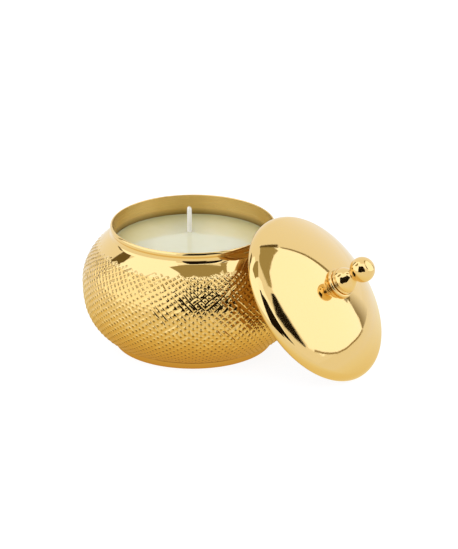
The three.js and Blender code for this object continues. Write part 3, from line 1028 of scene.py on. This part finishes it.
def hammered_gold():
    """Embossed gold: bright flanks, grooves painted a slightly deeper gold as painted shade, a dark spot painted
    at the middle of each pad as painted shade, fine grain.
    """
    material, tree = new_material("hammered_gold", Metallic=1.0, Coat_Weight=0.2, Coat_Roughness=0.05)
    pad = node(tree, "ShaderNodeAttribute", attribute_name="pad").outputs["Fac"]
    centre = node(tree, "ShaderNodeAttribute", attribute_name="painted_spot_shade").outputs["Fac"]
    # A dark spot painted at the middle of each pad as painted shade; the geometry has no pit there.
    painted_spot_shade = remap(tree, centre, 0.16, 0.50, 0.0, 1.0)
    # The grooves get the deeper gold as painted shade; the pads keep the brighter gold.
    gold = blended(tree, remap(tree, pad, 0.0, 0.3, 0.0, 1.0), PAINTED_GROOVE_SHADE_GOLD, PAD_GOLD)
    grain = remap(tree, noise(tree, 500), 0.3, 0.7, -0.02, 0.02)
    rough = math_node(tree, "ADD", remap(tree, pad, 0.0, 0.6, 0.09, 0.07), grain)
    surface = bump(tree, noise(tree, 900, 2.0), 0.01)
    return finished(material, Base_Color=blended(tree, painted_spot_shade, gold, PAINTED_SPOT_SHADE), Roughness=rough, Normal=surface)


def satin_gold(name, tint, shade, painted_shade_z=None):
    """Unpolished inner face: soft, with brushed rings. Given a height in millimetres, it is painted darker just
    above it, as painted shade.
    """
    material, tree = new_material(name, Metallic=1.0)
    brushed = turning_rings(tree, 14.0)
    colour = blended(tree, remap(tree, noise(tree, 45), 0.35, 0.65, 0.0, 1.0), tint, shade)
    if painted_shade_z is not None:
        place = node(tree, "ShaderNodeTexCoord").outputs["Object"]
        height = node(tree, "ShaderNodeSeparateXYZ", {"Vector": place}).outputs["Z"]
        # Painted shade: darkest at the given height, fading out 3.5 mm above it.
        unshaded_share = remap(tree, height, painted_shade_z * MM, (painted_shade_z + 3.5) * MM, 0.35, 1.0)
        colour = node(tree, "ShaderNodeVectorMath", {0: colour, 3: unshaded_share}, operation="SCALE").outputs[0]
    rough = remap(tree, brushed, 0.3, 0.7, 0.24, 0.36)
    surface = bump(tree, noise(tree, 1500), 0.004, bump(tree, brushed, 0.003))
    return finished(material, Base_Color=colour, Roughness=rough, Normal=surface)


def plated_steel():
    material, tree = new_material("plated_steel", Metallic=1.0)
    colour = blended(tree, noise(tree, 300), (0.66, 0.67, 0.69), (0.76, 0.77, 0.78))
    rough = remap(tree, noise(tree, 800), 0.3, 0.7, 0.22, 0.4)
    return finished(material, Base_Color=colour, Roughness=rough, Normal=bump(tree, noise(tree, 1200), 0.006))


def poured_wax():
    """Cream wax: light passes a little way in, and the smooth skin has a soft gloss with faint mottling."""
    material, tree = new_material(
        "poured_wax",
        Subsurface_Weight=0.5,
        Subsurface_Radius=(0.004, 0.003, 0.0018),
        Subsurface_Scale=1.0,
        IOR=1.6,
    )
    mottle = remap(tree, noise(tree, 70, 4.0), 0.3, 0.7, 0.0, 1.0)
    place = node(tree, "ShaderNodeTexCoord").outputs["Object"]
    flat = node(tree, "ShaderNodeVectorMath", {0: place, 1: (1, 1, 0)}, operation="MULTIPLY").outputs[0]
    reach = node(tree, "ShaderNodeVectorMath", {0: flat}, operation="LENGTH").outputs["Value"]
    # Towards the neck wall the wax is painted darker and yellower, as painted shade and a painted reflection of
    # the gold wall; the faint mottling is the wax's own.
    edge = math_node(tree, "MULTIPLY", mottle, 0.15)
    edge = math_node(tree, "ADD", edge, remap(tree, reach, 0.018, 0.040, 0.0, 0.85))
    colour = blended(tree, edge, (0.70, 0.67, 0.46), (0.47, 0.43, 0.19))
    rough = remap(tree, noise(tree, 180), 0.3, 0.7, 0.05, 0.11)
    surface = bump(tree, noise(tree, 700), 0.002, bump(tree, noise(tree, 55, 1.0), 0.02))
    return finished(material, Base_Color=colour, Roughness=rough, Normal=surface)


def braided_cotton():
    material, tree = new_material("braided_cotton", Sheen_Weight=0.25, Sheen_Roughness=0.5)
    fibres = noise(tree, 2600, 3.0, (1, 1, 0.2))
    colour = blended(tree, fibres, (0.95, 0.91, 0.79), (1.0, 0.97, 0.88))
    rough = remap(tree, fibres, 0.3, 0.7, 0.75, 0.95)
    return finished(material, Base_Color=colour, Roughness=rough, Normal=bump(tree, fibres, 0.05))


def foam_adhesive():
    material, tree = new_material("foam_adhesive")
    cells = noise(tree, 3000, 1.0)
    colour = blended(tree, cells, (0.74, 0.73, 0.68), (0.84, 0.83, 0.79))
    rough = remap(tree, cells, 0.3, 0.7, 0.6, 0.8)
    return finished(material, Base_Color=colour, Roughness=rough, Normal=bump(tree, cells, 0.03))


# ------------------------------------------------------------------ assembly

mirror_gold = polished_gold("polished_gold", GOLD, 0.035)
knob_gold = polished_gold("knob_gold", KNOB_GOLD, 0.045)
hatched_gold = hammered_gold()
inner_gold = satin_gold("satin_gold", *INNER_GOLDS)
# The neck's inside is painted darker just above the wax, as painted shade.
neck_inner_gold = satin_gold("neck_inner_gold", *INNER_GOLDS, WAX_LEVEL + 0.3)
steel = plated_steel()
# A dark satin gold painted as a shadow line where the foot band meets the belly.
painted_shadow_line_gold = satin_gold("painted_shadow_line_gold", *PAINTED_SHADOW_LINE_GOLDS)
# A dark satin gold painted on the lid's inside as painted shade.
lid_inner_painted_shade_gold = satin_gold("lid_inner_painted_shade_gold", *LID_INNER_PAINTED_SHADE_GOLDS)


def on_shoulder(radius, height, normal):
    return height > HATCH_TOP - 2 and radius > MOUTH_RADIUS - 0.1


# The lowest strip of the belly, painted as a shadow line above the foot band.
def in_foot_shadow_line(radius, height, normal):
    return height < HATCH_BOTTOM and radius > FOOT_RADIUS - 1


def inside_shell(radius, height, normal):
    return radius < belly_radius(height) - SHEET / 2 and height > SHELL_BOTTOM + SHEET / 2


def inside_neck(radius, height, normal):
    return radius < NECK_RADIUS + 0.05


# The top of the foot band, painted as a shadow line under the belly.
def on_foot_top(radius, height, normal):
    return height > FOOT_HEIGHT - 0.75


def faces_inward(radius, height, normal):
    return normal.dot(LID_AXIS) < -0.5


def on_lid(name, outline, slot, cad_node, *finish, sides=SMALL_ROUND):
    """A turned piece of the lid, finished and riding with it."""
    assemble(turned(name, outline, sides, LID_PLACE), "lid", slot, cad_node, *finish)


shoulder = (mirror_gold, on_shoulder)
foot_shadow_line = (painted_shadow_line_gold, in_foot_shadow_line)
shell_inside = (inner_gold, inside_shell)
bowl_finish = (hatched_gold, shoulder, foot_shadow_line, shell_inside)
assemble(hammered_bowl(), "tin", "hammered_gold", "bowl_shell", *bowl_finish)
neck_finish = (mirror_gold, (neck_inner_gold, inside_neck))
assemble(turned("neck_with_lip", collar_outline()), "tin", "polished_gold", "neck_collar", *neck_finish)
foot_finish = (mirror_gold, (painted_shadow_line_gold, on_foot_top))
assemble(turned("foot_band", foot_outline()), "tin", "polished_gold", "foot_ring", *foot_finish)
assemble(turned("base_plate", base_outline()), "tin", "satin_gold", "base_disc", inner_gold)
assemble(make_object("poured_wax", *wax_fill()), "tin", "wax", "wax_fill", poured_wax())
assemble(make_object("braided_wick", *cotton_wick()), "tin", "cotton", "wick", braided_cotton())

# The lid's inward faces and its locating ring get the painted shade.
lid_finish = (mirror_gold, (lid_inner_painted_shade_gold, faces_inward))
on_lid("domed_lid", lid_outline(), "polished_gold", "lid_dome", *lid_finish, sides=ROUND)
ring_outline = locating_ring_outline()
on_lid("locating_ring", ring_outline, "satin_gold", "lid_locating_ring", lid_inner_painted_shade_gold, sides=ROUND)
on_lid("knob_base", flange_outline(), "knob_gold", "knob_flange", knob_gold)
on_lid("knob_stem", bell_outline(), "knob_gold", "knob_bell", knob_gold)
ball_place = LID_PLACE @ Matrix.Translation((0, 0, BALL_HEIGHT * MM))
ball = turned("knob_top", ball_outline(), SMALL_ROUND, ball_place)
assemble(ball, "ball", "knob_gold", "knob_ball", knob_gold)
on_lid("knob_fixing_washer", washer_outline(), "plated_steel", "knob_washer", steel)
assemble(slotted_screw(), "lid", "plated_steel", "knob_screw", steel)

paint(frame["nodes"]["wick_sustainer"], steel)
paint(frame["nodes"]["sustainer_sticker"], foam_adhesive())


# ------------------------------------------------------------------ studio

# Directions in the studio are seen from the camera: azimuth in degrees from straight away, growing to the
# right, and elevation above the table. Cards are lit or dark sheets that only reflections and soft light see.

VIEW_AZIMUTH = math.radians(29.5)
VIEW_ELEVATION = 21.88
VIEW_TARGET = Vector((0.01549, 0.00876, 0.03421))
VIEW_DISTANCE = 1.6616
LENS = 218.9
RIGHT = Vector((math.cos(VIEW_AZIMUTH), math.sin(VIEW_AZIMUTH), 0))
AWAY = Vector((-math.sin(VIEW_AZIMUTH), math.cos(VIEW_AZIMUTH), 0))
UP = Vector((0, 0, 1))
STUDIO_CENTRE = Vector((0, 0, 0.04))


def towards(azimuth, elevation):
    turn, rise = math.radians(azimuth), math.radians(elevation)
    return (AWAY * math.cos(turn) + RIGHT * math.sin(turn)) * math.cos(rise) + UP * math.sin(rise)


def camera():
    """A long lens, a little above the table and to the left of the lid's lean."""
    data = bpy.data.cameras.new("camera")
    data.lens = LENS
    data.sensor_width = 36
    data.clip_end = 50
    made = add_object("camera", data)
    back = towards(180, VIEW_ELEVATION)
    made.location = VIEW_TARGET + back * VIEW_DISTANCE
    made.rotation_euler = (-back).to_track_quat("-Z", "Y").to_euler()
    bpy.context.scene.camera = made


def glow(name, colour, strength):
    """A plain emitting material, clear where the sheet's cover is low."""
    material = bpy.data.materials.new(name)
    material.use_nodes = True
    tree = material.node_tree
    tree.nodes.clear()
    cover = node(tree, "ShaderNodeAttribute", attribute_name="cover").outputs["Fac"]
    light = node(tree, "ShaderNodeEmission", {"Color": (*colour, 1), "Strength": strength}).outputs[0]
    clear = node(tree, "ShaderNodeBsdfTransparent").outputs[0]
    mixed = node(tree, "ShaderNodeMixShader", {0: cover, 1: clear, 2: light}).outputs[0]
    output = node(tree, "ShaderNodeOutputMaterial")
    tree.links.new(mixed, output.inputs["Surface"])
    return material


def sheet(name, ribs, colour, strength, cover=(1, 1), columns=16):
    """An emitting sheet between ribs. A rib is its two end points in metres. cover fades the sheet out
    towards either end of its ribs."""
    points = []
    for start, end in ribs:
        points += [start.lerp(end, step / columns) for step in range(columns + 1)]
    faces = []
    for row in range(len(ribs) - 1):
        for column in range(columns):
            first = row * (columns + 1) + column
            faces.append((first, first + 1, first + columns + 2, first + columns + 1))
    mesh = bpy.data.meshes.new(name)
    mesh.from_pydata([tuple(point) for point in points], [], faces)
    covers = list(np.linspace(*cover, columns + 1)) * len(ribs)
    add_values(mesh, "cover", covers)
    mesh.materials.append(glow(name, colour, strength))
    made = add_object(name, mesh)
    made.visible_camera = False
    made.visible_shadow = False
    return made


def card(name, ribs, distance, colour, strength, centre=STUDIO_CENTRE, cover=(1, 1)):
    """A sheet some way from a centre. A rib is given by the azimuth and elevation of its two ends."""
    placed = [[centre + towards(*end) * distance for end in rib] for rib in ribs]
    return sheet(name, placed, colour, strength, cover)


def level(*rows):
    """Ribs that run level. A row is an elevation and the azimuths of its two ends."""
    return [((left, elevation), (right, elevation)) for elevation, left, right in rows]


def upright(*rows):
    """Ribs that stand up. A row is an azimuth and the elevations of its two ends."""
    return [((azimuth, bottom), (azimuth, top)) for azimuth, bottom, top in rows]


WHITE = (0.97, 1.03, 1.18)
OLIVE = (0.42, 0.36, 0.20)
DARK_OLIVE = (0.20, 0.15, 0.06)
BLACK = (0.012, 0.008, 0.004)


def softboxes():
    card("softbox_right", [
        ((66, 2), (110, 2)), ((65, 11), (120, 11)), ((63, 20), (123, 20)), ((59, 28), (125, 28)),
        ((55, 40), (126.5, 40)), ((50, 54), (124, 54)), ((52, 66), (108, 68)),
    ], 1.6, WHITE, 1.4)
    card("softbox_left", level(
        (2, -158, -70), (30, -158, -70), (50, -155, -66), (72, -150, -60),
    ), 1.6, WHITE, 1.4)
    card("softbox_front", [
        ((137, 25), (214, 25)), ((134, 60), (214, 60)), ((126, 66), (214, 72)),
    ], 1.6, WHITE, 1.35)


def flags():
    """Gaps and dark sheets that draw the dark lines across the polish."""
    card("gap_above_right_softbox", [
        ((44, 60), (44, 67)), ((55, 57), (58, 70)), ((63, 61.5), (65, 72)), ((77, 64.5), (80, 73)),
        ((100, 65), (98, 71)), ((111, 62), (112, 67)), ((121, 57), (123, 60)),
    ], 1.4, OLIVE, 1.0)
    card("edge_above_right_softbox", [((42, 67), (45, 68)), ((46, 54), (51, 56))], 1.3, DARK_OLIVE, 0.6)
    card("gap_left_of_right_softbox", level(
        (10, 62, 67), (28, 57.5, 60.5), (40, 53.5, 56), (54, 49.5, 51.5),
    ), 1.4, OLIVE, 0.7)
    card("gap_right_of_right_softbox", [
        ((122, 12), (123, 12.5)), ((124.5, 20), (128.5, 20)), ((126.5, 30), (133.5, 30)),
        ((127.5, 40), (136, 40)), ((126.5, 47), (133, 48)), ((124.5, 53), (127, 55)),
    ], 1.4, BLACK, 1.0)
    bowl_front = RIGHT * 0.003 - AWAY * 0.050 + UP * 0.038
    card("camera_side", level(
        (2, 159, 197), (15, 159, 197), (40, 164, 193), (58, 169, 188),
    ), 0.17, BLACK, 1.0, bowl_front)
    card("knob_side", level(
        (-4, 156, 207), (20, 158, 206), (41, 170, 197),
    ), 0.2, BLACK, 1.0, RIGHT * 0.074 - AWAY * 0.02 + UP * 0.075)
    card("gap_right_of_left_softbox", [
        ((-66, 0), (-60, 0)), ((-69, 15), (-62, 15)), ((-68, 30), (-57, 30)), ((-70, 38), (-53, 39)),
        ((-66, 43), (-60, 45)),
    ], 1.4, DARK_OLIVE, 0.8)
    lid_side = RIGHT * 0.085 - AWAY * 0.01 + UP * 0.035
    card("low_shade_right", [
        ((46, -6), (67, -6)), ((50, 2), (66, 0)), ((56, 11), (70, 11)), ((60, 17), (72, 17)),
    ], 0.29, DARK_OLIVE, 1.0, lid_side, cover=(0, 0.9))
    card("low_part_of_right_softbox", upright(
        (68, -6, 14), (76, -6, 13), (86, -5, 12), (96, -4.6, 12), (106, -3.2, 12), (114, -0.7, 12),
        (122, 2.8, 13), (129, 7, 14), (134, 11.5, 15),
    ), 0.27, WHITE, 1.4, lid_side)
    card("gap_below_right_softbox", upright(
        (68, -7, -5.7), (76, -7, -5.8), (86, -6.1, -5), (96, -5.7, -4.6), (106, -4.4, -3.2),
        (114, -2, -0.7), (122, 1.2, 2.8), (129, 5.2, 7),
    ), 0.265, DARK_OLIVE, 1.6, lid_side)
    above = UP * 0.12
    sheet("sheet_above_shoulder", [
        (above - RIGHT * 0.032 - AWAY * 0.051, above + RIGHT * 0.044 - AWAY * 0.047),
        (above - RIGHT * 0.022 - AWAY * 0.063, above + RIGHT * 0.042 - AWAY * 0.060),
        (above - RIGHT * 0.013 - AWAY * 0.078, above + RIGHT * 0.032 - AWAY * 0.075),
    ], OLIVE, 0.95)


# Painted shadow and painted gold light on the table, which only reflections see.
PAINTED_TABLE_SHADE_AND_GOLD_LIGHT = (              # how far out, as a share of 250 mm, and the colour there
    (0.16, 0.62, 0.39, 0.11),
    (0.25, 0.78, 0.60, 0.24),
    (0.37, 0.92, 0.80, 0.46),
    (0.52, 0.97, 0.93, 0.74),
    (0.70, 0.97, 0.96, 0.92),
)


def floor():
    """A pale table top. The camera sees it white with the faintest shadow. In reflections it is painted darker and
    warmer near the bowl, as painted shadow and painted light from the gold."""
    size = 6.0
    mesh = bpy.data.meshes.new("table")
    corners = [(-size, -size, 0), (size, -size, 0), (size, size, 0), (-size, size, 0)]
    mesh.from_pydata(corners, [], [(0, 1, 2, 3)])
    table = add_object("table", mesh)
    table.location.z = -0.05 * MM
    material, tree = new_material("table_top", Roughness=1.0, Specular_IOR_Level=0.0, Emission_Strength=1.0)
    place = node(tree, "ShaderNodeTexCoord").outputs["Object"]
    reach = node(tree, "ShaderNodeVectorMath", {0: place}, operation="LENGTH").outputs["Value"]
    near = node(tree, "ShaderNodeValToRGB", {"Fac": remap(tree, reach, 0.0, 0.25, 0.0, 1.0)})
    stops = near.color_ramp.elements
    stops[0].position, *first_stop = PAINTED_TABLE_SHADE_AND_GOLD_LIGHT[0]
    stops[0].color = (*first_stop, 1)
    stops[1].position, *last_stop = PAINTED_TABLE_SHADE_AND_GOLD_LIGHT[-1]
    stops[1].color = (*last_stop, 1)
    for position, *colour in PAINTED_TABLE_SHADE_AND_GOLD_LIGHT[1:-1]:
        stops.new(position).color = (*colour, 1)
    # Reflections see the painted shadow and gold light; the camera sees the plain pale top.
    reflected = node(tree, "ShaderNodeLightPath").outputs["Is Glossy Ray"]
    shown_colour = blended(tree, reflected, (0.91, 0.91, 0.91), near.outputs["Color"])
    body_colour = remap(tree, reflected, 0.0, 1.0, 0.2, 0.0)
    mesh.materials.append(finished(material, Emission_Color=shown_colour, Base_Color=body_colour))


def surround():
    world = bpy.data.worlds.new("surround")
    bpy.context.scene.world = world
    world.use_nodes = True
    background = world.node_tree.nodes["Background"]
    background.inputs["Color"].default_value = (1, 1, 1, 1)
    background.inputs["Strength"].default_value = 1.0


camera()
softboxes()
flags()
floor()
surround()
bpy.context.scene.view_settings.view_transform = "Standard"
